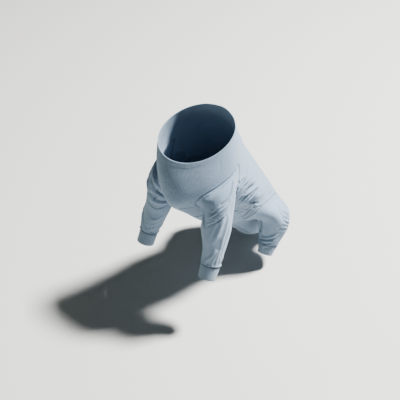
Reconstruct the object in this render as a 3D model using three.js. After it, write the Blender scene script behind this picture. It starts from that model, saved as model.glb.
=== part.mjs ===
// A four-legged jersey jumpsuit for a large dog, in the shape that it takes when it is worn sitting down.
// It is hollow: every piece is a thin wall of knitted cloth.
// Millimetres, +Z up. The front is towards -Y, and left is +X.
// The origin is the centre of the neck opening.
//
// One net of four-sided cells is laid over the whole suit: a torso tube with four windows in it, and a limb
// tube that grows from the edge of each window. The net is smoothed and folded, and its cells are then
// thickened into the pieces that the suit is sewn from.

import * as THREE from "three";

// Driving dimensions
const BODY_LENGTH = 500; // along the floor, from below the chest to the seat
const BODY_HEIGHT = 560; // from the floor to the top of the shoulders
const BODY_WIDTH = 200; // across the ribs
const SLEEVE_WIDTH = 90; // across a sleeve at the elbow
const THIGH_WIDTH = 100; // across the widest part of a hind leg
const FOLD_WIDTH = 15; // how far a fold reaches to each side of its line
const FOLD_HEIGHT = 4;
const FRONT_CUFF_WIDTH = 46; // across a front cuff at its lower edge
const FRONT_CUFF_LENGTH = 40;
const HIND_CUFF_WIDTH = 44;
const HIND_CUFF_LENGTH = 34;
const CLOTH = 2; // thickness of the jersey
const CUFF_CLOTH = 3; // thickness of a cuff, where the cloth is double
const CUFF_PROUD = 0.5; // how far a cuff stands out of the sleeve's surface
const SEAM_GAP = 0.8; // clearance between two sewn pieces

// How finely the net is laid
const HALF_ROUND = 18; // cells from the middle of the back to the middle of the belly
const NET_ROWS = 3; // cells along the torso from one station to the next
const LIMB_ROWS = 4; // cells along a limb from one section to the next
const CUFF_ROWS = 2;
const SMOOTHING_ROUNDS = 10;

// The columns of the net that the seams follow, counted from the middle of the back
const COLUMNS = { arm: 6, belly: 12, crotch: 17 };

// A table as a list of rows with named columns
function table(columns, rows) {
  return rows.map((row) => Object.fromEntries(columns.map((column, i) => [column, row[i]])));
}

// The torso, from the neck opening to the opening under the tail. y, z and width are shares of BODY_LENGTH,
// BODY_HEIGHT and BODY_WIDTH, and are measured from a point on the floor under the chest. shift moves a
// station to the left by a share of BODY_WIDTH, lean lifts its left side and lowers its right one, and keel
// narrows its front half. arm, belly and crotch are the places of those columns, in degrees from the back.
const TORSO = table(
  ["name", "backY", "backZ", "frontY", "frontZ", "width", "shift", "lean", "keel", "arm", "belly", "crotch"],
  [
    ["neck opening", 0.332, 1.02, 0.008, 0.864, 0.96, -0.04, 0.15, 0, 60, 120, 170],
    ["neck base", 0.364, 0.959, -0.044, 0.782, 1.02, -0.02, 0.08, 0.1, 68, 128, 170],
    ["shoulders", 0.408, 0.896, -0.072, 0.698, 1.07, 0, 0, 0.25, 74, 134, 172],
    ["fore-chest", 0.456, 0.829, -0.052, 0.65, 1.08, 0, 0, 0.45, 90, 138, 172],
    ["brisket", 0.508, 0.757, 0.055, 0.558, 1.07, 0, 0, 0.5, 105, 132, 170],
    ["ribs", 0.576, 0.671, 0.19, 0.434, 1.06, 0, 0, 0.4, 80, 116, 168],
    ["waist", 0.652, 0.571, 0.364, 0.325, 1, 0, 0, 0.1, 54, 92, 165],
    ["flank", 0.736, 0.468, 0.524, 0.193, 0.93, 0, 0, 0, 32, 60, 160],
    ["hip", 0.816, 0.368, 0.644, 0.079, 0.9, 0, 0, 0, 24, 42, 158],
    ["rump", 0.888, 0.275, 0.748, 0.039, 0.8, 0, 0, 0, 22, 42, 155],
    ["rear opening", 0.924, 0.2, 0.86, 0.05, 0.5, 0, 0, 0, 34, 72, 162],
  ],
);

// The windows that the limbs grow from, by station along the torso and by column down its side. turn is
// where the window's first corner lies round the limb, in degrees from its outer side.
const ARMHOLE = { first: 2, last: 4, top: COLUMNS.arm, bottom: COLUMNS.belly, turn: 0 };
const LEG_HOLE = { first: 6, last: 9, top: COLUMNS.belly, bottom: COLUMNS.crotch, turn: -55 };

// The sections of a limb, from its window down. out is a share of BODY_WIDTH, y of BODY_LENGTH and z of
// BODY_HEIGHT. across, from the section's inner to its outer side, and deep, from front to back, are shares
// of SLEEVE_WIDTH or THIGH_WIDTH. tilt turns the outer side up, pitch the back up and yaw the back outwards,
// in degrees.
const SECTION_COLUMNS = ["name", "out", "y", "z", "across", "deep", "tilt", "pitch", "yaw"];
const LEFT_SLEEVE = table(
  SECTION_COLUMNS,
  [
    ["shoulder", 0.45, 0.096, 0.668, 1.2, 1.06, 54, -6, 20],
    ["elbow", 0.46, 0.072, 0.557, 0.86, 0.98, 18, -8, 12],
    ["forearm", 0.48, 0.044, 0.454, 0.66, 0.74, 4, -16, 4],
    ["wrist", 0.485, 0.01, 0.364, 0.58, 0.6, 0, -26, 0],
  ],
);
const RIGHT_SLEEVE = table(
  SECTION_COLUMNS,
  [
    ["shoulder", 0.44, 0.092, 0.674, 1.02, 1.12, 54, -6, 20],
    ["elbow", 0.49, 0.084, 0.548, 0.8, 0.98, 18, -8, 12],
    ["forearm", 0.545, 0.054, 0.448, 0.66, 0.74, 8, -12, 4],
    ["wrist", 0.582, 0.026, 0.378, 0.55, 0.55, 8, -20, 0],
  ],
);
const LEFT_LEG = table(
  SECTION_COLUMNS,
  [
    ["haunch", 0.48, 0.648, 0.296, 0.96, 1.3, 20, -18, -8],
    ["knee", 0.51, 0.636, 0.214, 0.84, 1.02, 8, -12, 0],
    ["shank", 0.505, 0.596, 0.139, 0.54, 0.58, 0, -28, 0],
  ],
);
const RIGHT_LEG = LEFT_LEG;

const LIMBS = table(
  ["name", "side", "hole", "sections", "size", "cuff"],
  [
    ["sleeve_left", 1, ARMHOLE, LEFT_SLEEVE, SLEEVE_WIDTH, "front"],
    ["sleeve_right", -1, ARMHOLE, RIGHT_SLEEVE, SLEEVE_WIDTH, "front"],
    ["leg_left", 1, LEG_HOLE, LEFT_LEG, THIGH_WIDTH, "hind"],
    ["leg_right", -1, LEG_HOLE, RIGHT_LEG, THIGH_WIDTH, "hind"],
  ],
);
const CUFFS = {
  front: { width: FRONT_CUFF_WIDTH, length: FRONT_CUFF_LENGTH },
  hind: { width: HIND_CUFF_WIDTH, length: HIND_CUFF_LENGTH },
};

// The main folds, each along a line on a tube of the net, on the left (1), the right (-1) or both sides (0).
// down is a share of the tube's length, from its upper end. round goes from the middle of the back to the
// middle of the belly, or once round a limb from its window's first corner. height and width are shares of
// FOLD_HEIGHT and FOLD_WIDTH, and a negative height makes a crease.
const FOLDS = table(
  ["name", "tube", "side", "height", "width", "down", "round", "downEnd", "roundEnd"],
  [
    ["upper arm", "sleeve", 1, 0.75, 1, 0.38, 0.79, 0.31, 1],
    ["above the elbow", "sleeve", 1, 1, 1, 0.5, 0.79, 0.38, 1],
    ["elbow", "sleeve", 1, 1, 1, 0.69, 0.75, 0.44, 1],
    ["below the elbow", "sleeve", 1, 0.75, 0.9, 0.88, 0.75, 0.5, 0.92],
    ["forearm", "sleeve", 1, 0.75, 0.8, 0.94, 0.79, 0.63, 0.96],
    ["far armpit", "sleeve", -1, 1, 1, 0.38, 0.79, 0.38, 0.58],
    ["far elbow", "sleeve", -1, 1, 1, 0.5, 0.83, 0.5, 0.63],
    ["far forearm", "sleeve", -1, 0.75, 0.9, 0.75, 0.79, 0.69, 0.58],
    ["behind the arm", "torso", 0, 0.75, 1, 0.37, 0.33, 0.37, 0.22],
    ["ribs", "torso", 0, 1, 1, 0.43, 0.33, 0.47, 0.22],
    ["waist", "torso", 0, 1, 1, 0.47, 0.39, 0.53, 0.33],
    ["before the hip", "torso", 0, -1, 1, 0.5, 0.5, 0.57, 0.61],
    ["hip", "torso", 0, -0.75, 1, 0.57, 0.61, 0.67, 0.5],
    ["groin", "leg", 0, -1, 1, 0.1, 0.95, 0.08, 0.71],
    ["inner knee", "leg", 0, -1, 0.9, 0.42, 0.86, 0.92, 0.89],
    ["above the hind cuff", "leg", 0, 1, 0.8, 0.92, 0.89, 0.75, 1.07],
    ["knee, upper", "leg", 0, -0.6, 0.8, 0.42, 0.21, 0.25, 0.11],
    ["knee, lower", "leg", 0, -0.75, 0.8, 0.67, 0.14, 0.42, 0.04],
  ],
);
const FOLD_STEPS = 12; // points along a fold's line that its reach is measured from

const JERSEY = { color: 0x9fb0c4, roughness: 0.9, metalness: 0 };
const RIB = { color: 0x8c9cb0, roughness: 0.95, metalness: 0 };
const JERSEY_WALL = { thickness: CLOTH, proud: 0, look: JERSEY };
const CUFF_WALL = { thickness: CUFF_CLOTH, proud: CUFF_PROUD, look: RIB };

const UP = new THREE.Vector3(0, 0, 1);

// The net of cells. A point is held where its place is final: on open edges and along the cuffs.
const net = { points: [], held: [], cells: [] };

function addPoint(point, held = false) {
  net.held.push(held);
  return net.points.push(point) - 1;
}

// A cell of the net. flipped turns it round, so that its outer face looks out on the right-hand side too.
function addCell(piece, corners, flipped = false) {
  net.cells.push({ piece, corners: flipped ? [...corners].reverse() : corners });
}

// How far round the torso a column lies at a station, in radians
function columnAngle(station, column) {
  const places = [
    [0, 0],
    [COLUMNS.arm, station.arm],
    [COLUMNS.belly, station.belly],
    [COLUMNS.crotch, station.crotch],
    [HALF_ROUND, 180],
  ];
  const next = places.findIndex(([at]) => at >= Math.abs(column) && at > 0);
  const [from, start] = places[next - 1];
  const [to, end] = places[next];
  const degrees = start + ((end - start) * (Math.abs(column) - from)) / (to - from);
  return Math.sign(column) * THREE.MathUtils.degToRad(degrees);
}

// A point given as shares of the body's sizes
function place(out, y, z) {
  return new THREE.Vector3(out * BODY_WIDTH, y * BODY_LENGTH, z * BODY_HEIGHT);
}

// The point of a torso station at a column. Columns below 0 lie on the right-hand side.
function stationPoint({ backY, backZ, frontY, frontZ, width, shift, lean, keel, ...columns }, column) {
  const back = place(shift, backY, backZ);
  const front = place(shift, frontY, frontZ);
  const angle = columnAngle(columns, column);
  const point = back.clone().add(front).divideScalar(2);
  point.addScaledVector(back.sub(front), (Math.cos(angle) + lean * Math.sin(angle)) / 2);
  point.x += ((width * BODY_WIDTH * Math.sin(angle)) / 2) * (1 - keel * Math.max(0, -Math.cos(angle)));
  return point;
}

// Lays the torso's points, one smooth curve for each column, and returns the index of each one.
function layTorso() {
  const rows = (TORSO.length - 1) * NET_ROWS;
  const index = Array.from({ length: rows + 1 }, () => new Map());
  for (let column = 1 - HALF_ROUND; column <= HALF_ROUND; column++) {
    const curve = new THREE.CatmullRomCurve3(TORSO.map((station) => stationPoint(station, column)));
    for (let row = 0; row <= rows; row++) {
      if (inWindow(row, column)) continue;
      index[row].set(column, addPoint(curve.getPoint(row / rows), row === 0 || row === rows));
    }
    if (column === HALF_ROUND) index.forEach((columns) => columns.set(-HALF_ROUND, columns.get(HALF_ROUND)));
  }
  return index;
}

// Whether a torso point lies inside a window, away from its edge
function inWindow(row, column) {
  return [ARMHOLE, LEG_HOLE].some(
    ({ first, last, top, bottom }) =>
      row > first * NET_ROWS && row < last * NET_ROWS && Math.abs(column) > top && Math.abs(column) < bottom,
  );
}

function torsoPiece(row, column) {
  const side = Math.abs(column + 0.5);
  for (const { first, last, top, bottom } of [ARMHOLE, LEG_HOLE])
    if (row >= first * NET_ROWS && row < last * NET_ROWS && side > top && side < bottom) return null;
  return row > ARMHOLE.last * NET_ROWS && side > COLUMNS.belly ? "belly_panel" : "body";
}

function addTorsoCells(torso) {
  for (let row = 0; row < torso.length - 1; row++)
    for (let column = -HALF_ROUND; column < HALF_ROUND; column++) {
      const piece = torsoPiece(row, column);
      const corners = [
        torso[row].get(column),
        torso[row].get(column + 1),
        torso[row + 1].get(column + 1),
        torso[row + 1].get(column),
      ];
      if (piece) addCell(piece, corners);
    }
}

// The edge of a window, from its top front corner along the top, down the rear, along the bottom and up the
// front. Each point has its angle round the limb: 0 on the outer side, a quarter turn at the back.
function windowEdge(torso, { first, last, top, bottom, turn }, side) {
  const rows = (last - first) * NET_ROWS;
  const columns = bottom - top;
  const edge = [];
  const add = (row, column, quarter, share) =>
    edge.push({
      index: torso[first * NET_ROWS + row].get(side * (top + column)),
      angle: THREE.MathUtils.degToRad(turn + 90 * (quarter + share)),
    });
  for (let i = 0; i < rows; i++) add(i, 0, 0, i / rows);
  for (let i = 0; i < columns; i++) add(rows, i, 1, i / columns);
  for (let i = 0; i < rows; i++) add(rows - i, columns, 2, i / rows);
  for (let i = 0; i < columns; i++) add(0, columns - i, 3, i / columns);
  return edge;
}

// The directions of a limb's section: to its outer side, to its back, and on down the limb
function sectionAxes({ tilt, pitch, yaw }, side) {
  const t = THREE.MathUtils.degToRad(tilt);
  const p = THREE.MathUtils.degToRad(pitch);
  const outer = new THREE.Vector3(side * Math.cos(t), 0, Math.sin(t));
  const back = new THREE.Vector3(0, Math.cos(p), Math.sin(p));
  for (const axis of [outer, back]) axis.applyAxisAngle(UP, -side * THREE.MathUtils.degToRad(yaw));
  const onward = outer.clone().cross(back).multiplyScalar(-side).normalize();
  return { outer, back, onward };
}

function sectionPoint({ centre, across, deep, outer, back }, angle) {
  return centre
    .clone()
    .addScaledVector(outer, (Math.cos(angle) * across) / 2)
    .addScaledVector(back, (Math.sin(angle) * deep) / 2);
}

// The sections of a limb, placed, with the cuff's lower edge as the last one
function limbSections({ side, sections, size, cuff }) {
  const placed = sections.map(({ out, y, z, across, deep, ...turns }) => ({
    centre: place(side * out, y, z),
    across: across * size,
    deep: deep * size,
    ...sectionAxes(turns, side),
  }));
  const { width, length } = CUFFS[cuff];
  const wrist = placed.at(-1);
  const centre = wrist.centre.clone().addScaledVector(wrist.onward, length);
  return [...placed, { ...wrist, centre, across: width, deep: width }];
}

// Lays a limb, with a strand from each point of the window's edge down to the cuff's lower edge, and returns
// the part of each strand that lies above the cuff.
function addLimb(torso, limb) {
  const sections = limbSections(limb);
  const rows = (sections.length - 1) * LIMB_ROWS;
  const strands = windowEdge(torso, limb.hole, limb.side).map(({ index, angle }) => {
    const stops = sections.map((section) => sectionPoint(section, angle));
    const [wrist, end] = stops.slice(-2);
    const curve = new THREE.CatmullRomCurve3([net.points[index], ...stops.slice(0, -1)]);
    const strand = [index];
    for (let row = 1; row <= rows; row++) strand.push(addPoint(curve.getPoint(row / rows), row === rows));
    for (let row = 1; row <= CUFF_ROWS; row++)
      strand.push(addPoint(wrist.clone().lerp(end, row / CUFF_ROWS), true));
    return strand;
  });
  const cuff = limb.name.replace(/^[a-z]+/, limb.cuff + "_cuff");
  strands.forEach((strand, i) => {
    const next = strands[(i + 1) % strands.length];
    for (let row = 0; row < strand.length - 1; row++)
      addCell(
        row < rows ? limb.name : cuff,
        [strand[row], strand[row + 1], next[row + 1], next[row]],
        limb.side < 0,
      );
  });
  return strands.map((strand) => strand.slice(0, rows + 1));
}

// The points that share a cell's side with each point
function neighbours() {
  const near = net.points.map(() => new Set());
  for (const { corners } of net.cells)
    corners.forEach((corner, i) => {
      near[corner].add(corners[(i + 1) % 4]);
      near[corner].add(corners[(i + 3) % 4]);
    });
  return near.map((set) => [...set]);
}

// Moves each free point a share of the way to the middle of its neighbours.
function relax(near, share) {
  const moved = net.points.map((point, i) => {
    if (net.held[i]) return point;
    const middle = new THREE.Vector3();
    near[i].forEach((j) => middle.add(net.points[j]));
    return point.clone().lerp(middle.divideScalar(near[i].length), share);
  });
  net.points = moved;
}

// Smooths the net where the limbs join the torso. The second step of each round undoes the shrinking.
function smooth() {
  const near = neighbours();
  for (let round = 0; round < SMOOTHING_ROUNDS; round++) {
    relax(near, 0.5);
    relax(near, -0.52);
  }
}

function cellNormal([a, b, c, d]) {
  const across = net.points[c].clone().sub(net.points[a]);
  return across.cross(net.points[d].clone().sub(net.points[b]));
}

// The outward direction at each point of the net
function netNormals() {
  const normals = net.points.map(() => new THREE.Vector3());
  for (const { corners } of net.cells) {
    const normal = cellNormal(corners);
    corners.forEach((corner) => normals[corner].add(normal));
  }
  return normals.map((normal) => normal.normalize());
}

// The point of the net nearest to a place on one of its tubes
function tubePoint(tube, side, down, round) {
  if (tube === "torso") {
    const columns = torso[Math.round(down * (torso.length - 1))];
    return net.points[columns.get(side * Math.round(round * HALF_ROUND))];
  }
  const strands = tubes[tube + (side > 0 ? "_left" : "_right")];
  const strand = strands[Math.round(round * strands.length) % strands.length];
  return net.points[strand[Math.round(down * (strand.length - 1))]];
}

// Adds one fold to one side of the net. It is highest in the middle of its line and fades to both ends.
function addFold({ tube, height, width, down, round, downEnd, roundEnd }, side, normals) {
  const { lerp } = THREE.MathUtils;
  const steps = [];
  for (let i = 0; i <= FOLD_STEPS; i++) {
    const share = i / FOLD_STEPS;
    steps.push(tubePoint(tube, side, lerp(down, downEnd, share), lerp(round, roundEnd, share)).clone());
  }
  const reach = width * FOLD_WIDTH;
  net.points.forEach((point, i) => {
    const ways = steps.map((step) => step.distanceTo(point));
    const away = Math.min(...ways);
    if (net.held[i] || away >= reach) return;
    const along = ways.indexOf(away) / FOLD_STEPS;
    const profile = Math.cos(((away / reach) * Math.PI) / 2) ** 2;
    point.addScaledVector(normals[i], height * FOLD_HEIGHT * profile * Math.sqrt(Math.sin(along * Math.PI)));
  });
}

// Which way each point of a piece moves to leave the seam: towards the middle of the piece's own cells
function seamInsets(cells, shared, normals) {
  const insets = new Map();
  for (const { corners } of cells) {
    const middle = new THREE.Vector3();
    corners.forEach((corner) => middle.addScaledVector(net.points[corner], 1 / 4));
    for (const corner of corners)
      if (shared.has(corner)) {
        if (!insets.has(corner)) insets.set(corner, new THREE.Vector3());
        insets.get(corner).add(middle.clone().sub(net.points[corner]));
      }
  }
  insets.forEach((inset, corner) => inset.projectOnPlane(normals[corner]).setLength(SEAM_GAP / 2));
  return insets;
}

// The points of the net that belong to more than one piece
function seamPoints() {
  const owner = new Map();
  const shared = new Set();
  for (const { piece, corners } of net.cells)
    for (const corner of corners) {
      if (owner.has(corner) && owner.get(corner) !== piece) shared.add(corner);
      owner.set(corner, piece);
    }
  return shared;
}

// Thickens one piece of the net into a closed wall of cloth.
function wallGeometry(cells, shared, normals, thickness, proud) {
  const insets = seamInsets(cells, shared, normals);
  const local = new Map();
  const positions = [];
  const corner = (index, inside) => {
    const key = 2 * index + (inside ? 1 : 0);
    if (!local.has(key)) {
      const point = net.points[index].clone().add(insets.get(index) ?? new THREE.Vector3());
      point.addScaledVector(normals[index], inside ? proud - thickness : proud);
      local.set(key, positions.push(point) - 1);
    }
    return local.get(key);
  };
  const triangles = [];
  const addQuad = (a, b, c, d) => triangles.push(a, b, c, a, c, d);
  const edges = new Set();
  for (const { corners } of cells) corners.forEach((from, i) => edges.add(from + "," + corners[(i + 1) % 4]));
  for (const { corners } of cells) {
    const [a, b, c, d] = corners;
    addQuad(corner(a), corner(b), corner(c), corner(d));
    addQuad(corner(a, true), corner(d, true), corner(c, true), corner(b, true));
    corners.forEach((from, i) => {
      const to = corners[(i + 1) % 4];
      if (edges.has(to + "," + from)) return;
      addQuad(corner(to), corner(from), corner(from, true), corner(to, true));
    });
  }
  const geometry = new THREE.BufferGeometry().setFromPoints(positions);
  geometry.setIndex(triangles);
  geometry.computeVertexNormals();
  return geometry;
}

function makePieces() {
  const shared = seamPoints();
  const normals = netNormals();
  const group = new THREE.Group();
  for (const name of new Set(net.cells.map(({ piece }) => piece))) {
    const cells = net.cells.filter(({ piece }) => piece === name);
    const { thickness, proud, look } = name.includes("cuff") ? CUFF_WALL : JERSEY_WALL;
    const geometry = wallGeometry(cells, shared, normals, thickness, proud);
    const mesh = new THREE.Mesh(geometry, new THREE.MeshStandardMaterial(look));
    mesh.name = name;
    group.add(mesh);
  }
  return group;
}

const torso = layTorso();
addTorsoCells(torso);
const tubes = Object.fromEntries(LIMBS.map((limb) => [limb.name, addLimb(torso, limb)]));
smooth();
const unfolded = netNormals();
for (const fold of FOLDS) for (const side of [1, -1]) if (fold.side !== -side) addFold(fold, side, unfolded);

const suit = makePieces();
const { shift, backY, backZ, frontY, frontZ } = TORSO[0];
suit.position.copy(place(shift, (backY + frontY) / 2, (backZ + frontZ) / 2)).negate();
const part = new THREE.Group();
part.add(suit);

export default part;
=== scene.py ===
# The looks of the jumpsuit: its cloth, smooth across the seams, with its folds, gathers, hems and stitches.
import math

import bmesh
import bpy
import numpy as np
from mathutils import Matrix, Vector, kdtree, noise
from mathutils.bvhtree import BVHTree


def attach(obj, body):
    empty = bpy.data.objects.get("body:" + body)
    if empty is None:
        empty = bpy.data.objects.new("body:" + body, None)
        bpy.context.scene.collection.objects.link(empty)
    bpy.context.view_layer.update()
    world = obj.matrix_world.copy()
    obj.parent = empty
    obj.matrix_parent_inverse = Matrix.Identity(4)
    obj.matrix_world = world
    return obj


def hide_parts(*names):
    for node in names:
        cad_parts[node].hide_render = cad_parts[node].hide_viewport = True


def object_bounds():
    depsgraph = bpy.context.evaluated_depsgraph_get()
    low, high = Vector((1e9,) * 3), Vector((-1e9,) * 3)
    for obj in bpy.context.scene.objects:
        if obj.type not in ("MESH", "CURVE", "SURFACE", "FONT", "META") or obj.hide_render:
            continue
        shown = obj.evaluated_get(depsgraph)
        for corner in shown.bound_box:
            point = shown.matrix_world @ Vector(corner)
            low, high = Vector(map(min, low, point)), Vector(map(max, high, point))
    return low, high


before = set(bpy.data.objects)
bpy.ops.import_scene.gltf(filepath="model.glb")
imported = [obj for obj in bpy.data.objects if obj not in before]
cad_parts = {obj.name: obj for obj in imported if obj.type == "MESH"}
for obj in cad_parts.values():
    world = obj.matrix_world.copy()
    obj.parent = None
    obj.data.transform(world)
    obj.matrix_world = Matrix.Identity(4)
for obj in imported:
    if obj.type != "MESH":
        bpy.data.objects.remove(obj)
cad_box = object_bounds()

MM = 0.001
JERSEY_WALL = 1.6 * MM
CUFF_WALL = 2.4 * MM
CAD_WALLS = {"jersey": 2 * MM, "cuff_knit": 3 * MM}
WALL_SLACK = 0.15 * MM  # how far the edges across a CAD wall's rim may be off its thickness
SAME_POINT = 0.001 * MM
WELD = 2 * MM  # how far apart the CAD edges on the two sides of a seam may lie
MAX_BEND, MAX_SKEW = 1.2, 3.1  # radians, up to which two triangles are joined to a quad
FINE, COARSE = 3, 2  # subdivision of the outer and of the inner face of the cloth
FLOOR_GAP = 20.3 * MM  # from the lowest point of the suit down to the floor
FLOOR_SIZE = 30

# The camera stands away from its target, along a unit direction. Lengths are in metres, but the lens and its
# sensor in mm.
CAMERA = {
    "target": (-0.015, 0.037, -0.2395),
    "away": (0.4694, -0.6461, 0.6018),
    "distance": 2.0,
    "lens": 65.86,
    "sensor": 36,
    "clip": 20,
}

PIECES = list(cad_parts)
CUFFS = [number for number, node in enumerate(PIECES) if "cuff" in node]

# The tubes of the suit: the middle line from the top down, in metres, the directions that 0 and 90 degrees
# look in, and a usual radius.
TUBES = {
    "torso": {
        "line": [(0, 0, 0), (0, 0.03, -0.1), (0, 0.12, -0.22), (0, 0.23, -0.36), (0, 0.34, -0.45)],
        "at_0": (0, 0.6, 0.8),
        "at_90": (1, 0, 0),
        "radius": 0.115,
    },
    "sleeve_left": {
        "line": [
            (0.098, -0.037, -0.153),
            (0.1, -0.049, -0.216),
            (0.104, -0.063, -0.273),
            (0.105, -0.08, -0.324),
            (0.105, -0.098, -0.36),
        ],
        "at_0": (1, 0, 0),
        "at_90": (0, 1, 0),
        "radius": 0.036,
    },
    "sleeve_right": {
        "line": [
            (-0.08, -0.039, -0.15),
            (-0.09, -0.043, -0.221),
            (-0.101, -0.058, -0.277),
            (-0.108, -0.072, -0.316),
            (-0.112, -0.086, -0.353),
        ],
        "at_0": (-1, 0, 0),
        "at_90": (0, 1, 0),
        "radius": 0.036,
    },
    "leg_left": {
        "line": [
            (0.104, 0.239, -0.362),
            (0.11, 0.233, -0.408),
            (0.109, 0.213, -0.45),
            (0.109, 0.197, -0.48),
        ],
        "at_0": (1, 0, 0),
        "at_90": (0, 1, 0),
        "radius": 0.045,
    },
    "leg_right": {
        "line": [
            (-0.088, 0.239, -0.362),
            (-0.094, 0.233, -0.408),
            (-0.093, 0.213, -0.45),
            (-0.093, 0.197, -0.48),
        ],
        "at_0": (-1, 0, 0),
        "at_90": (0, 1, 0),
        "radius": 0.045,
    },
}
TUBE_OF = {
    "body": "torso",
    "belly_panel": "torso",
    "front_cuff_left": "sleeve_left",
    "front_cuff_right": "sleeve_right",
    "hind_cuff_left": "leg_left",
    "hind_cuff_right": "leg_right",
}
OTHER_SIDE = {"torso": "torso", "sleeve_left": "sleeve_right", "leg_left": "leg_right"}

# The folds. A row is a fan of them, spread between its first and its last fold, and each of these is a list
# of places: the share of the way down the tube and the degrees round it. Heights and half widths are in mm,
# and a height under 0 makes creases. Rows for both sides are repeated on the right. A row of one fold has no
# last fold.
FOLDS = [
    # name, tube, both sides, count, height, half width, first fold, last fold
    ("upper arm", "sleeve_left", True, 5, 3, 6.5, [(-0.15, 0), (-0.1, -49), (-0.01, -84)],
     [(0.01, -18), (0.07, -60), (0.18, -94)]),
    ("arm creases", "sleeve_left", True, 4, -4, 4.5, [(-0.12, -14), (-0.07, -52), (0.02, -84)],
     [(0.03, -24), (0.09, -62), (0.19, -90)]),
    ("arm front", "sleeve_left", False, 1, 3, 8, [(0.06, -10), (0.24, -20), (0.5, -34)], None),
    ("forearm long", "sleeve_left", False, 2, 3.4, 8, [(0.02, -34), (0.43, -68)], [(0.1, -62), (0.5, -88)]),
    ("forearm low", "sleeve_left", True, 3, 3, 6.5, [(0.39, -22), (0.66, -32)], [(0.52, -44), (0.74, -94)]),
    ("forearm outer", "sleeve_left", True, 2, 2.4, 9, [(0.2, 10), (0.62, -4)], [(0.3, 40), (0.66, 26)]),
    ("arm back", "sleeve_left", True, 3, 3, 8, [(-0.1, 62), (0.16, 96)], [(0.16, 60), (0.4, 104)]),
    ("under the seam", "sleeve_left", True, 1, -5, 5,
     [(-0.3, 24), (-0.22, 4), (-0.14, -24), (-0.11, -54)], None),
    ("arm crook", "sleeve_left", True, 3, -3, 5, [(-0.02, -118), (0.13, -98)], [(0.08, -124), (0.22, -98)]),
    ("sleeve hem", "sleeve_left", True, 17, 1.8, 4.5, [(0.66, -180), (0.765, -180)],
     [(0.66, 160), (0.765, 160)]),
    ("far upper", "sleeve_right", False, 3, 3, 8, [(-0.2, -70), (-0.06, -104), (0.12, -150)],
     [(0.14, -62), (0.24, -108), (0.28, -156)]),
    ("far creases", "sleeve_right", False, 3, -3.6, 5, [(-0.12, -76), (0.02, -108), (0.16, -150)],
     [(0.22, -66), (0.34, -112), (0.3, -158)]),
    ("far armpit", "sleeve_right", False, 2, -4.5, 7, [(0.02, -120), (0.1, -170)],
     [(0.14, -130), (0.16, -175)]),
    ("far forearm", "sleeve_right", False, 3, 1.6, 7, [(0.46, -80), (0.56, -120), (0.5, -160)],
     [(0.74, -58), (0.74, -104), (0.68, -150)]),
    ("behind the arm", "torso", True, 10, 4.2, 7, [(0.19, 108), (0.2, 96), (0.25, 80)],
     [(0.44, 110), (0.46, 90), (0.55, 68)]),
    ("gathers", "torso", True, 9, -6, 5, [(0.2, 114), (0.215, 98), (0.25, 84)],
     [(0.43, 114), (0.445, 94), (0.51, 76)]),
    ("groin tuck", "torso", True, 1, -7, 6, [(0.42, 105), (0.46, 101), (0.53, 93)], None),
    ("above the tuck", "torso", True, 2, 2.6, 8, [(0.34, 114), (0.44, 104), (0.5, 98)],
     [(0.38, 124), (0.46, 112), (0.51, 102)]),
    ("hip tucks", "torso", True, 3, -2.2, 4.5, [(0.62, 74), (0.69, 60)], [(0.68, 62), (0.75, 48)]),
    ("belly fan", "torso", True, 4, -4, 8, [(0.5, 100), (0.45, 116), (0.42, 130)],
     [(0.53, 102), (0.54, 124), (0.57, 138)]),
    ("inner groin", "leg_left", True, 1, -3.4, 8, [(-0.15, -122), (0.07, -131), (0.37, -144)], None),
    ("inner leg", "leg_left", True, 1, -6.5, 8, [(-0.12, -94), (0.05, -102), (0.36, -121)], None),
    ("inner leg folds", "leg_left", True, 3, 4, 8, [(-0.05, -118), (0.36, -140)], [(-0.2, -84), (0.3, -98)]),
    ("shin fold", "leg_left", True, 1, -5, 6, [(0.58, -116), (0.46, -80), (0.38, -42)], None),
    ("shin folds", "leg_left", True, 3, 4, 7, [(0.5, -110), (0.34, -70), (0.24, -40)],
     [(0.74, -110), (0.62, -70), (0.52, -30)]),
    ("knee", "leg_left", True, 6, 4.4, 6, [(-0.04, 16), (-0.26, -18)], [(0.38, 16), (0.1, -46)]),
    ("haunch", "leg_left", True, 2, 3, 22, [(-0.75, -58), (-0.3, -52), (0.05, -38)],
     [(-0.7, -18), (-0.36, -14), (-0.1, -8)]),
    ("haunch dent", "leg_left", True, 1, -2, 14, [(-0.7, -40), (-0.36, -34), (-0.05, -24)], None),
    ("leg hem", "leg_left", True, 16, 1.8, 4.5, [(0.72, -180), (0.83, -180)], [(0.72, 160), (0.83, 160)]),
    ("leg back", "leg_left", True, 4, 3, 8, [(0.1, 60), (0.2, 120)], [(0.62, 50), (0.66, 140)]),
    ("chest mark", "torso", False, 1, -2, 4, [(0, 160), (0.015, 161.5), (0.03, 161)], None),
    ("shoulder line", "torso", False, 1, -0.8, 3.5, [(-0.01, 115), (0.03, 123)], None),
    ("loins", "torso", True, 4, 1.6, 16, [(0.5, 8), (0.54, 44)], [(0.82, 6), (0.8, 40)]),
    ("nape", "torso", True, 3, 1.5, 14, [(0.08, 6), (0.11, 50)], [(0.36, 4), (0.37, 52)]),
]

# Where the cloth is crumpled: a place on a tube, how far it reaches and how high, both in mm.
CRUMPLES = [
    # tube, both sides, down, degrees, reach, height
    ("sleeve_left", True, 0.05, -80, 60, 0.7),
    ("sleeve_left", True, 0.3, 90, 60, 0.6),
    ("torso", True, 0.4, 104, 90, 0.8),
    ("torso", True, 0.55, 150, 80, 0.6),
    ("leg_left", True, 0.1, -100, 70, 0.9),
    ("leg_left", True, 0.2, 20, 60, 0.7),
]

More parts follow.
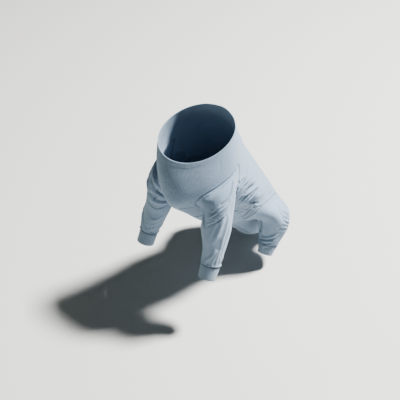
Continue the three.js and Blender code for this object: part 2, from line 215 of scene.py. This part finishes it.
CORNER_ROUNDS, CORNER_CUT = 2, 0.25  # how often a route's corners are cut, and the share that a cut takes
PATH_POINTS = 16
STRAY = (0.008, 2.5)  # how far a fold strays from its place in the fan: share of the way down, degrees
SIZE_RANGE = (0.7, 1.15)  # the sizes of the folds of one fan
RIDGE_POWER, CREASE_POWER = 2, 1.6  # the form across a ridge and across a crease
TAPER_POWER = 0.5  # how a fold runs out at its ends
CRUMPLE = {"size": 11, "top": 0.5, "fall": 2, "seed": 3}  # mm across, then shares of the height
DRAPE = [(60, 1.2, 5), (17, 0.12, 9)]  # size and height in mm, seed

SEAM = {"depth": 1.2, "half_width": 1.7, "ridge": 0.6, "ridge_at": 4, "ridge_width": 2.2}  # mm
CUFF_SEAM = {"depth": 2.2, "half_width": 1.9, "ridge": 2.2, "ridge_at": 4, "ridge_width": 2.6}  # mm
PUCKER = {"size": 7, "share": 0.9, "seed": 13}  # mm across, and how much of a seam's ridge comes and goes
SEAM_PAINTED_SHADE = {"width": 1.3, "share": 0.5}  # painted shade of the seams: mm wide, and how much of its colour the cloth loses there
CREASE_PAINTED_SHADE = {"depth": 3.5, "share": 0.75}  # painted shade of the creases: mm deep, and how much of a seam's painted shade a crease so deep has
HEM = {"depth": 12.5, "step": 1.2, "height": 0.45}  # mm
HEM_ROWS = {"depths": (9.2, 11.4), "groove": 0.3, "half_width": 0.8}  # mm
STITCH = {"length": 2.1, "pitch": 3, "radius": 0.24}  # mm
STITCH_SIDES = 6
# The rings of one stitch: place along it in lengths, size in radii, rise in radii. It dips into the cloth at
# both ends.
STITCH_RINGS = [
    (-0.5, 0.25, -0.9),
    (-0.4, 0.8, -0.2),
    (-0.15, 1, 0.35),
    (0.15, 1, 0.35),
    (0.4, 0.8, -0.2),
    (0.5, 0.25, -0.9),
]

# The looks of the two knits: the yarns' two shades, then a stitch's width and height and the relief, in mm.
KNITS = {
    "jersey": {
        "dark": (0.2, 0.272, 0.365),
        "light": (0.315, 0.405, 0.515),
        "wale": 1.6,
        "course": 1.3,
        "relief": 0.3,
    },
    "cuff_knit": {
        "dark": (0.2, 0.27, 0.35),
        "light": (0.3, 0.38, 0.475),
        "wale": 2.4,
        "course": 1.4,
        "relief": 0.6,
    },
}
KNIT_FINISH = {
    "Roughness": 0.88,
    "Specular IOR Level": 0.25,
    "Sheen Weight": 0.3,
    "Sheen Roughness": 0.5,
    "Sheen Tint": (0.88, 0.94, 1, 1),
}
RELIEF_STRENGTH = 0.7
YARNS = {"scale": 900, "detail": 4, "stretch": 0.35, "low": 0.34, "high": 0.66}
NAP = {"scale": 2600, "detail": 2, "stretch": 1, "height": 0.25}
YARN_ROUNDNESS, ROW_RELIEF, STITCH_SLANT = 0.6, 0.22, 1.2
THREAD = ((0.36, 0.43, 0.5), 0.6)  # colour, roughness

LIGHTS = [
    # name, place, size, power, colour
    ("key", (2.0, 2.6, 4.7), 0.8, 1250, (1, 0.99, 0.97)),
    ("fill", (-1.5, -2.0, 1.2), 2.0, 4, (0.84, 0.93, 1)),
    ("low fill", (-0.9, -1.1, -0.4), 0.8, 3, (0.8, 0.92, 0.6)),
]
LIT_PLACE = (0, 0.1, -0.25)
SKY = {"colour": (0.86, 0.93, 1, 1), "strength": 0.09}
FLOOR = ((0.56, 0.56, 0.55), 0.7)  # colour, roughness

random = np.random.RandomState(7)


def set_camera():
    data = bpy.data.cameras.new("camera")
    camera = bpy.data.objects.new("camera", data)
    bpy.context.collection.objects.link(camera)
    data.lens = CAMERA["lens"]
    data.sensor_width = CAMERA["sensor"]
    data.clip_end = CAMERA["clip"]
    away = Vector(CAMERA["away"])
    camera.location = Vector(CAMERA["target"]) + CAMERA["distance"] * away
    camera.rotation_euler = away.to_track_quat("Z", "Y").to_euler()
    bpy.context.scene.camera = camera


# The smooth skin

def slot_of(node):
    return "cuff_knit" if "cuff" in node else "jersey"


def outer_skin(node):
    """The outer face of a node's CAD wall, as (points, triangles)."""
    wall = CAD_WALLS[slot_of(node)]
    bm = bmesh.new()
    bm.from_mesh(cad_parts[node].data)
    bmesh.ops.remove_doubles(bm, verts=bm.verts, dist=SAME_POINT)
    rim = [f for f in bm.faces if any(abs(e.calc_length() - wall) < WALL_SLACK for e in f.edges)]
    bmesh.ops.delete(bm, geom=rim, context="FACES")
    skins = []
    todo = set(bm.faces)
    for first in bm.faces:
        if first not in todo:
            continue
        todo.remove(first)
        skin = [first]
        for face in skin:
            fresh = {other for edge in face.edges for other in edge.link_faces} & todo
            todo -= fresh
            skin.extend(sorted(fresh, key=lambda f: f.index))
        skins.append(skin)

    def outward(skin):
        middle = sum((f.calc_center_median() for f in skin), Vector()) / len(skin)
        return sum((f.calc_center_median() - middle).dot(f.normal) * f.calc_area() for f in skin)

    index = {}
    points = []
    triangles = []
    for face in max(skins, key=outward):
        for vert in face.verts:
            if vert not in index:
                index[vert] = len(points)
                points.append(vert.co.copy())
        triangles.append([index[vert] for vert in face.verts])
    bm.free()
    return points, triangles


def weld_edges(points, faces, owner):
    """For each point the one that stands for it, once the edges on the two sides of each seam are one."""
    uses = {}
    for face in faces:
        for a, b in zip(face, face[1:] + face[:1]):
            edge = frozenset((a, b))
            uses[edge] = uses.get(edge, 0) + 1
    edge_points = sorted({i for edge, count in uses.items() if count == 1 for i in edge})
    tree = kdtree.KDTree(len(edge_points))
    for i in edge_points:
        tree.insert(points[i], i)
    tree.balance()
    stand_in = list(range(len(points)))
    for i in edge_points:
        if stand_in[i] != i:
            continue
        found = tree.find_range(points[i], WELD)
        near = [j for _, j, _ in found if owner[j] != owner[i] and stand_in[j] == j]
        points[i] = sum((points[j] for j in near), points[i].copy()) / (len(near) + 1)
        for j in near:
            stand_in[j] = i
    return stand_in


def welded_net():
    """One mesh of all the outer faces, sewn together at the seams. A face's material index is its piece."""
    points, faces, owner, pieces = [], [], [], []
    for number, node in enumerate(PIECES):
        own, triangles = outer_skin(node)
        start = len(points)
        points += own
        owner += [number] * len(own)
        faces += [[start + i for i in triangle] for triangle in triangles]
        pieces += [number] * len(triangles)
    stand_in = weld_edges(points, faces, owner)
    bm = bmesh.new()
    verts = {i: bm.verts.new(points[i]) for i in sorted(set(stand_in))}
    for face, piece in zip(faces, pieces):
        corners = [verts[stand_in[i]] for i in face]
        if len(set(corners)) == 3:
            bm.faces.new(corners).material_index = piece
    bm.normal_update()
    bmesh.ops.join_triangles(
        bm,
        faces=bm.faces,
        cmp_seam=False,
        cmp_sharp=False,
        cmp_uvs=False,
        cmp_vcols=False,
        cmp_materials=True,
        angle_face_threshold=MAX_BEND,
        angle_shape_threshold=MAX_SKEW,
    )
    mesh = bpy.data.meshes.new("net")
    bm.to_mesh(mesh)
    bm.free()
    return mesh


class Skin:
    """The smooth skin at one level of subdivision, with each point's lift off it and its painted shade."""

    def __init__(self, net, levels):
        obj = bpy.data.objects.new("skin", net)
        bpy.context.collection.objects.link(obj)
        modifier = obj.modifiers.new("smooth", "SUBSURF")
        modifier.levels = levels
        modifier.render_levels = levels
        modifier.boundary_smooth = "ALL"
        done = obj.evaluated_get(bpy.context.evaluated_depsgraph_get()).to_mesh()
        self.points = np.empty(3 * len(done.vertices))
        done.vertices.foreach_get("co", self.points)
        self.points = self.points.reshape(-1, 3)
        self.normals = np.empty(3 * len(done.vertices))
        done.vertices.foreach_get("normal", self.normals)
        self.normals = self.normals.reshape(-1, 3)
        self.faces = np.empty(len(done.loops), int)
        done.loops.foreach_get("vertex_index", self.faces)
        self.faces = self.faces.reshape(-1, 4)
        self.pieces = np.empty(len(done.polygons), int)
        done.polygons.foreach_get("material_index", self.pieces)
        self.piece_at = np.zeros(len(self.points), int)
        self.piece_at[self.faces] = self.pieces[:, None]
        self.lift = np.zeros(len(self.points))
        self.painted_shade = np.zeros(len(self.points))
        bpy.data.objects.remove(obj)

    def open_edges(self, chosen):
        """The directed edges (from, to) of the chosen faces that no other chosen face shares."""
        faces = self.faces[chosen]
        start = faces.ravel()
        end = np.roll(faces, -1, axis=1).ravel()
        forward = start * len(self.points) + end
        backward = end * len(self.points) + start
        alone = ~np.isin(forward, backward)
        return np.stack([start[alone], end[alone]], axis=1)

    def tree(self):
        return BVHTree.FromPolygons(self.points.tolist(), self.faces.tolist())


# Places on the tubes

def tube_line(tube):
    """The points of a tube's middle line and the lengths along it."""
    line = np.array(TUBES[tube]["line"], float)
    steps = np.linalg.norm(np.diff(line, axis=0), axis=1)
    return line, np.concatenate([[0], np.cumsum(steps)])


def on_line(values, at, line):
    """The points of a line where the increasing values reach at, running straight on past its ends."""
    place = np.clip(np.searchsorted(values, at) - 1, 0, len(values) - 2)
    share = (at - values[place]) / (values[place + 1] - values[place])
    return line[place] + (line[place + 1] - line[place]) * share[..., None]


def on_skin(tree, tube, down, degrees):
    """The point of the skin at a share of the way down a tube and at an angle round it, or None."""
    line, lengths = tube_line(tube)
    start = on_line(lengths, np.array(down * lengths[-1]), line)
    angle = math.radians(degrees)
    way = Vector(TUBES[tube]["at_0"]) * math.cos(angle) + Vector(TUBES[tube]["at_90"]) * math.sin(angle)
    return tree.ray_cast(Vector(start), way)[0]


def grain(tube, points):
    """How far round a tube and down it each point lies, in metres."""
    line, lengths = tube_line(tube)
    first = np.array(TUBES[tube]["at_0"])
    second = np.array(TUBES[tube]["at_90"])
    axis = np.cross(first, second)
    if (line[-1] - line[0]) @ axis < 0:
        axis = -axis
    heights = line @ axis
    at = points @ axis
    away = points - on_line(heights, at, line)
    turn = np.arctan2(away @ second, away @ first)
    down = on_line(heights, at, lengths[:, None])[:, 0]
    return np.stack([turn * TUBES[tube]["radius"], -down], axis=1)


# How far each point is lifted from the smooth skin

def rounded(route):
    """A route with its corners cut."""
    for _ in range(CORNER_ROUNDS if len(route) > 2 else 0):
        early = (1 - CORNER_CUT) * route[:-1] + CORNER_CUT * route[1:]
        late = CORNER_CUT * route[:-1] + (1 - CORNER_CUT) * route[1:]
        middle = np.stack([early, late], axis=1).reshape(-1, 2)
        route = np.concatenate([route[:1], middle, route[-1:]])
    return route


def fold_path(tree, tube, route):
    """The points of the skin along a route, leaving out those that miss it."""
    corners = rounded(route)
    places = np.linspace(0, len(corners) - 1, PATH_POINTS)
    down = np.interp(places, range(len(corners)), corners[:, 0])
    degrees = np.interp(places, range(len(corners)), corners[:, 1])
    found = [on_skin(tree, tube, *place) for place in zip(down, degrees)]
    return np.array([point for point in found if point])


def sides_of(tube, both):
    """The tubes that a row of a table is for, each with 1, or with -1 where its degrees are turned over."""
    places = [(tube, 1)]
    if both:
        places.append((OTHER_SIDE[tube], -1 if tube == "torso" else 1))
    return places


def all_folds(tree):
    """Each fold of the table as (height, half width, path) in metres, a little unlike its neighbours."""
    folds = []
    for _, tube, both, count, height, width, first, last in FOLDS:
        first = np.array(first, float)
        last = np.array(first if last is None else last, float)
        for place, turn in sides_of(tube, both):
            for number in range(count):
                share = number / max(count - 1, 1)
                stray = random.normal(0, 1, first.shape) * STRAY * min(count - 1, 1)
                route = (first + (last - first) * share + stray) * (1, turn)
                path = fold_path(tree, place, route)
                size = random.uniform(*SIZE_RANGE) if count > 1 else 1
                if len(path) > 2:
                    folds.append((height * size * MM, width * size**0.5 * MM, path))
    return folds


def fold_lift(points, folds):
    """How far the folds lift each point: the ridges up and the creases down."""
    lift = np.zeros(len(points))
    for height, width, path in folds:
        low = path.min(axis=0) - width
        high = path.max(axis=0) + width
        near = np.flatnonzero(np.all((points > low) & (points < high), axis=1))
        best = np.full(len(near), np.inf)
        share = np.zeros(len(near))
        for i, (a, b) in enumerate(zip(path[:-1], path[1:])):
            step = b - a
            away = points[near] - a
            along = np.clip(away @ step / (step @ step), 0, 1)
            gap = np.linalg.norm(away - along[:, None] * step, axis=1)
            nearer = gap < best
            best[nearer] = gap[nearer]
            share[nearer] = (i + along[nearer]) / (len(path) - 1)
        across = np.clip(best / width, 0, 1)
        form = (1 - across**2) ** RIDGE_POWER if height > 0 else (1 - across) ** CREASE_POWER
        lift[near] += height * form * np.sin(np.pi * share) ** TAPER_POWER
    return lift


def noise_at(points, size, seed):
    """Smooth noise between about -1 and 1 whose bumps are about size metres across."""
    shift = Vector((seed, 2 * seed, -seed))
    return np.array([noise.noise(Vector(point) / size + shift) for point in points])


def crumple_lift(points, tree):
    """Small irregular wrinkles where the cloth is bunched."""
    mask = np.zeros(len(points))
    for tube, both, down, degrees, reach, height in CRUMPLES:
        for place, turn in sides_of(tube, both):
            spot = on_skin(tree, place, down, degrees * turn)
            if spot:
                gap = np.linalg.norm(points - np.array(spot), axis=1) / (reach * MM)
                mask = np.maximum(mask, height * MM * np.clip(1 - gap**2, 0, 1))
    lift = np.zeros(len(points))
    near = np.flatnonzero(mask > 0)
    folds = np.abs(noise_at(points[near], CRUMPLE["size"] * MM, CRUMPLE["seed"]))
    lift[near] = (CRUMPLE["top"] - CRUMPLE["fall"] * folds) * mask[near]
    return lift


def drape_lift(points):
    """The slow waves of cloth that lies on a body."""
    return sum(height * MM * noise_at(points, size * MM, seed) for size, height, seed in DRAPE)


def bump(gaps, at, width):
    """A rounded rise, 1 high, of the points whose gap is about at."""
    return np.exp(-(((gaps - at) / width) ** 2))


class Edges:
    """The seams, cuff seams and hem edges of the suit, and the fine skin's distance to them."""

    def __init__(self, skin):
        self.skin = skin
        owners = {}
        for number in range(len(PIECES)):
            for point in np.unique(skin.open_edges(skin.pieces == number)):
                owners.setdefault(int(point), []).append(number)
        cuffs = set(CUFFS)
        shared = {point: own for point, own in owners.items() if len(own) > 1}
        self.cuff_seam = [point for point, own in shared.items() if cuffs & set(own)]
        self.seam = [point for point, own in shared.items() if not cuffs & set(own)]
        self.hem = [point for point, own in owners.items() if len(own) == 1 and not cuffs & set(own)]

    def gaps(self, points, kind):
        """Each point's distance to the nearest edge of a kind, in mm."""
        tree = kdtree.KDTree(len(kind))
        for point in kind:
            tree.insert(Vector(self.skin.points[point]), point)
        tree.balance()
        return np.array([tree.find(Vector(point))[2] for point in points]) / MM

    def seam_lift(self, skin):
        """The groove of each seam, with the cloth a little raised and puckered beside it, and the hems."""
        puckers = 1 + PUCKER["share"] * noise_at(skin.points, PUCKER["size"] * MM, PUCKER["seed"])
        gaps = self.gaps(skin.points, self.seam)
        lift = -SEAM["depth"] * bump(gaps, 0, SEAM["half_width"])
        lift += SEAM["ridge"] * bump(gaps, SEAM["ridge_at"], SEAM["ridge_width"]) * puckers
        gaps = self.gaps(skin.points, self.cuff_seam)
        on_cuff = np.isin(skin.piece_at, CUFFS)
        lift -= CUFF_SEAM["depth"] * bump(gaps, 0, CUFF_SEAM["half_width"])
        ridge = CUFF_SEAM["ridge"] * bump(gaps, CUFF_SEAM["ridge_at"], CUFF_SEAM["ridge_width"]) * puckers
        lift += np.where(on_cuff, 0, ridge)
        gaps = self.gaps(skin.points, self.hem)
        lift += HEM["height"] * np.clip((HEM["depth"] - gaps) / HEM["step"] + 0.5, 0, 1)
        for row in HEM_ROWS["depths"]:
            lift -= HEM_ROWS["groove"] * bump(gaps, row, HEM_ROWS["half_width"])
        return lift * MM

    def seam_painted_shade(self, skin):
        """The painted shade of the seams: 1 in them, where little light falls in, and 0 away from them."""
        gaps = self.gaps(skin.points, self.seam + self.cuff_seam)
        return bump(gaps, 0, SEAM_PAINTED_SHADE["width"])


# The pieces

def material_with_nodes(name):
    material = bpy.data.materials.new(name)
    material.use_nodes = True
    nodes = material.node_tree.nodes
    return material, nodes, material.node_tree.links, nodes["Principled BSDF"]


def add_math(nodes, links, operation, first, second=0.0):
    node = nodes.new("ShaderNodeMath")
    node.operation = operation
    for socket, value in zip(node.inputs, (first, second)):
        if isinstance(value, (int, float)):
            socket.default_value = value
        else:
            links.new(value, socket)
    return node.outputs[0]


def knit_height(nodes, links, wale, course):
    """The height of knitted stitches, 0 to 1: V shapes in columns one wale wide, in rows one course high."""
    uv = nodes.new("ShaderNodeUVMap")
    uv.uv_map = "grain"
    parts = nodes.new("ShaderNodeSeparateXYZ")
    links.new(uv.outputs[0], parts.inputs[0])
    across = add_math(nodes, links, "DIVIDE", parts.outputs[0], wale)
    down = add_math(nodes, links, "DIVIDE", parts.outputs[1], course)
    swing = add_math(nodes, links, "PINGPONG", across, 0.5)
    legs = add_math(nodes, links, "PINGPONG", across, 0.25)
    row = add_math(nodes, links, "ADD", down, add_math(nodes, links, "MULTIPLY", swing, STITCH_SLANT))
    wave = add_math(nodes, links, "SINE", add_math(nodes, links, "MULTIPLY", row, 2 * math.pi))
    yarn = add_math(nodes, links, "POWER", add_math(nodes, links, "MULTIPLY", legs, 4), YARN_ROUNDNESS)
    waves = add_math(nodes, links, "MULTIPLY", wave, ROW_RELIEF)
    rows = add_math(nodes, links, "ADD", waves, 1 - ROW_RELIEF)
    return add_math(nodes, links, "MULTIPLY", yarn, rows)


def grain_noise(nodes, links, kind):
    """Noise of a kind, YARNS or NAP, stretched down the cloth's grain."""
    uv = nodes.new("ShaderNodeUVMap")
    uv.uv_map = "grain"
    mapping = nodes.new("ShaderNodeMapping")
    mapping.inputs["Scale"].default_value = (1, kind["stretch"], 1)
    links.new(uv.outputs[0], mapping.inputs[0])
    texture = nodes.new("ShaderNodeTexNoise")
    texture.inputs["Scale"].default_value = kind["scale"]
    texture.inputs["Detail"].default_value = kind["detail"]
    links.new(mapping.outputs[0], texture.inputs["Vector"])
    return texture.outputs[0]


def ramp(nodes, links, value, low, high, dark, light):
    """A colour that goes from dark to light as the value goes from low to high."""
    node = nodes.new("ShaderNodeValToRGB")
    node.color_ramp.elements[0].position = low
    node.color_ramp.elements[0].color = (*dark, 1)
    node.color_ramp.elements[1].position = high
    node.color_ramp.elements[1].color = (*light, 1)
    links.new(value, node.inputs[0])
    return node.outputs[0]


def knit_material(name, knit):
    """Heathered knit: yarns of two shades, darkened by the painted shade of seams and creases, stitches in
    relief and a soft nap that catches the light.
    """
    material, nodes, links, shader = material_with_nodes(name)
    yarns = grain_noise(nodes, links, YARNS)
    yarn_colour = ramp(nodes, links, yarns, YARNS["low"], YARNS["high"], knit["dark"], knit["light"])
    # Painted shade: the yarn colour is darkened in the seams and creases.
    painted_shade = nodes.new("ShaderNodeAttribute")
    painted_shade.attribute_name = "painted_shade"
    painted_darkening = add_math(nodes, links, "MULTIPLY", painted_shade.outputs["Fac"], SEAM_PAINTED_SHADE["share"])
    colour = nodes.new("ShaderNodeVectorMath")
    colour.operation = "SCALE"
    links.new(yarn_colour, colour.inputs[0])
    links.new(add_math(nodes, links, "SUBTRACT", 1, painted_darkening), colour.inputs["Scale"])
    links.new(colour.outputs[0], shader.inputs["Base Color"])
    for finish, value in KNIT_FINISH.items():
        shader.inputs[finish].default_value = value
    stitches = knit_height(nodes, links, knit["wale"] * MM, knit["course"] * MM)
    nap = add_math(nodes, links, "MULTIPLY", grain_noise(nodes, links, NAP), NAP["height"])
    relief = nodes.new("ShaderNodeBump")
    relief.inputs["Strength"].default_value = RELIEF_STRENGTH
    relief.inputs["Distance"].default_value = knit["relief"] * MM
    links.new(add_math(nodes, links, "ADD", stitches, nap), relief.inputs["Height"])
    links.new(relief.outputs[0], shader.inputs["Normal"])
    return material


def plain_material(name, colour, roughness):
    material, _, _, shader = material_with_nodes(name)
    shader.inputs["Base Color"].default_value = (*colour, 1)
    shader.inputs["Roughness"].default_value = roughness
    return material


def add_grain(mesh, tube):
    """The UV map that runs round and down a tube, in metres, without a jump inside any face."""
    points = np.empty(3 * len(mesh.vertices))
    mesh.vertices.foreach_get("co", points)
    at = grain(tube, points.reshape(-1, 3))
    corners = np.empty(len(mesh.loops), int)
    mesh.loops.foreach_get("vertex_index", corners)
    starts = np.empty(len(mesh.polygons), int)
    mesh.polygons.foreach_get("loop_start", starts)
    sizes = np.diff(np.append(starts, len(corners)))
    uv = at[corners]
    round_once = 2 * math.pi * TUBES[tube]["radius"]
    first = np.repeat(uv[starts, 0], sizes)
    uv[:, 0] = first + (uv[:, 0] - first + round_once / 2) % round_once - round_once / 2
    mesh.uv_layers.new(name="grain").data.foreach_set("uv", uv.ravel())


def piece_mesh(number, wall, fine, coarse):
    """The closed wall of one piece: the outer face from the fine skin, the inner one from the coarse skin."""
    outer_ids, outer = np.unique(fine.faces[fine.pieces == number], return_inverse=True)
    inner_ids, inner = np.unique(coarse.faces[coarse.pieces == number], return_inverse=True)
    faces = outer.reshape(-1, 4).tolist()
    faces += (inner.reshape(-1, 4)[:, ::-1] + len(outer_ids)).tolist()
    outside = fine.points[outer_ids] + fine.normals[outer_ids] * fine.lift[outer_ids, None]
    inside = coarse.points[inner_ids] + coarse.normals[inner_ids] * (coarse.lift[inner_ids, None] - wall)
    outer_place = {int(point): place for place, point in enumerate(outer_ids)}
    inner_place = {int(point): place + len(outer_ids) for place, point in enumerate(inner_ids)}
    onward = dict(fine.open_edges(fine.pieces == number).tolist())
    tree = kdtree.KDTree(len(onward))
    for point in onward:
        tree.insert(Vector(fine.points[point]), point)
    tree.balance()
    for a, b in coarse.open_edges(coarse.pieces == number).tolist():
        steps = [tree.find(Vector(coarse.points[a]))[1]]
        for _ in range(2 ** (FINE - COARSE)):
            steps.append(onward[steps[-1]])
        faces.append([outer_place[point] for point in reversed(steps)] + [inner_place[a], inner_place[b]])
    mesh = bpy.data.meshes.new(PIECES[number])
    mesh.from_pydata(np.concatenate([outside, inside]).tolist(), [], faces)
    mesh.polygons.foreach_set("use_smooth", [True] * len(mesh.polygons))
    # The painted shade of the seams and creases, carried to the knit material in a point attribute.
    painted_shade = np.concatenate([fine.painted_shade[outer_ids], coarse.painted_shade[inner_ids]])
    mesh.attributes.new("painted_shade", "FLOAT", "POINT").data.foreach_set("value", painted_shade)
    add_grain(mesh, TUBE_OF.get(PIECES[number], PIECES[number]))
    mesh.update()
    return mesh


def shape_cloth(fine, coarse):
    """Gives each skin how far its points are lifted and the painted shade of its seams and creases."""
    tree = coarse.tree()
    folds = all_folds(tree)
    edges = Edges(fine)
    for skin in (fine, coarse):
        folded = fold_lift(skin.points, folds)
        skin.lift = folded + crumple_lift(skin.points, tree)
        skin.lift += drape_lift(skin.points) + edges.seam_lift(skin)
        # Painted shade: the deeper a crease, the darker its colour, as if less light fell into it.
        painted_crease_shade = np.clip(-folded / (CREASE_PAINTED_SHADE["depth"] * MM), 0, 1) * CREASE_PAINTED_SHADE["share"]
        skin.painted_shade = np.maximum(edges.seam_painted_shade(skin), painted_crease_shade)


def add_cloth(fine, coarse, materials):
    """Each node's cloth, in place of its CAD solid."""
    for number, node in enumerate(PIECES):
        slot = slot_of(node)
        wall = CUFF_WALL if slot == "cuff_knit" else JERSEY_WALL
        mesh = piece_mesh(number, wall, fine, coarse)
        mesh.materials.append(materials[slot])
        obj = bpy.data.objects.new(node + "_cloth", mesh)
        bpy.context.collection.objects.link(obj)
        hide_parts(node)
        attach(obj, "root")


def chains(edges):
    """The closed runs of points that directed edges (from, to) make."""
    onward = dict(edges.tolist())
    runs = []
    while onward:
        start, point = onward.popitem()
        run = [start]
        while point != start:
            run.append(point)
            point = onward.pop(point)
        runs.append(run)
    return runs


def stitch_places(fine, depth):
    """Where the stitches of a hem row lie: (middle, along, outward) for each, depth mm from the edge."""
    lifted = fine.points + fine.normals * fine.lift[:, None]
    tree = BVHTree.FromPolygons(lifted.tolist(), fine.faces.tolist())
    places = []
    for run in chains(fine.open_edges(np.ones(len(fine.pieces), bool))):
        if np.isin(fine.piece_at[run], CUFFS).any():
            continue
        along = np.roll(fine.points[run], -1, axis=0) - np.roll(fine.points[run], 1, axis=0)
        along /= np.linalg.norm(along, axis=1)[:, None]
        inward = np.cross(fine.normals[run], along)
        row = fine.points[run] + inward * depth * MM
        closed = np.concatenate([row, row[:1]])
        lengths = np.concatenate([[0], np.cumsum(np.linalg.norm(np.diff(closed, axis=0), axis=1))])
        count = int(lengths[-1] / (STITCH["pitch"] * MM))
        at = np.arange(count) / count * lengths[-1]
        middles = np.stack([np.interp(at, lengths, closed[:, k]) for k in range(3)], axis=1)
        ways = np.roll(middles, -1, axis=0) - np.roll(middles, 1, axis=0)
        for middle, way in zip(middles, ways):
            spot, normal, _, _ = tree.find_nearest(Vector(middle))
            places.append((np.array(spot), way / np.linalg.norm(way), np.array(normal)))
    return places


def add_stitches(fine, material):
    """The two rows of hem stitches as one mesh of short threads."""
    points = []
    faces = []
    for depth in HEM_ROWS["depths"]:
        for middle, along, outward in stitch_places(fine, depth):
            across = np.cross(outward, along)
            start = len(points)
            for step, size, rise in STITCH_RINGS:
                ring = middle + along * step * STITCH["length"] * MM + outward * rise * STITCH["radius"] * MM
                for i in range(STITCH_SIDES):
                    angle = 2 * math.pi * i / STITCH_SIDES
                    spoke = across * math.cos(angle) + outward * math.sin(angle)
                    points.append(ring + spoke * size * STITCH["radius"] * MM)
            for ring in range(start, len(points) - STITCH_SIDES, STITCH_SIDES):
                for i in range(STITCH_SIDES):
                    a = ring + i
                    b = ring + (i + 1) % STITCH_SIDES
                    faces.append([a, b, b + STITCH_SIDES, a + STITCH_SIDES])
            faces.append(list(reversed(range(start, start + STITCH_SIDES))))
            faces.append(list(range(len(points) - STITCH_SIDES, len(points))))
    mesh = bpy.data.meshes.new("hem stitches")
    mesh.from_pydata([tuple(point) for point in points], [], faces)
    mesh.polygons.foreach_set("use_smooth", [True] * len(mesh.polygons))
    mesh.materials.append(material)
    obj = bpy.data.objects.new("hem_stitches", mesh)
    bpy.context.collection.objects.link(obj)
    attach(obj, "root")


# The stage

def add_floor():
    bpy.ops.mesh.primitive_plane_add(size=FLOOR_SIZE, location=(0, 0, cad_box[0][2] - FLOOR_GAP))
    floor = bpy.context.object
    floor.name = "floor"
    floor.data.materials.append(plain_material("pale floor", *FLOOR))


def add_light(name, place, size, power, colour):
    data = bpy.data.lights.new(name, "AREA")
    data.size = size
    data.energy = power
    data.color = colour
    light = bpy.data.objects.new(name, data)
    light.location = place
    light.rotation_euler = (Vector(place) - Vector(LIT_PLACE)).to_track_quat("Z", "Y").to_euler()
    bpy.context.collection.objects.link(light)


def add_world():
    world = bpy.data.worlds.new("studio")
    world.use_nodes = True
    world.node_tree.nodes["Background"].inputs["Color"].default_value = SKY["colour"]
    world.node_tree.nodes["Background"].inputs["Strength"].default_value = SKY["strength"]
    bpy.context.scene.world = world
    bpy.context.scene.view_settings.look = "AgX - Medium High Contrast"


set_camera()
net = welded_net()
fine_skin = Skin(net, FINE)
coarse_skin = Skin(net, COARSE)
shape_cloth(fine_skin, coarse_skin)
add_cloth(fine_skin, coarse_skin, {slot: knit_material(slot, knit) for slot, knit in KNITS.items()})
add_stitches(fine_skin, plain_material("thread", *THREAD))
add_floor()
for light in LIGHTS:
    add_light(*light)
add_world()
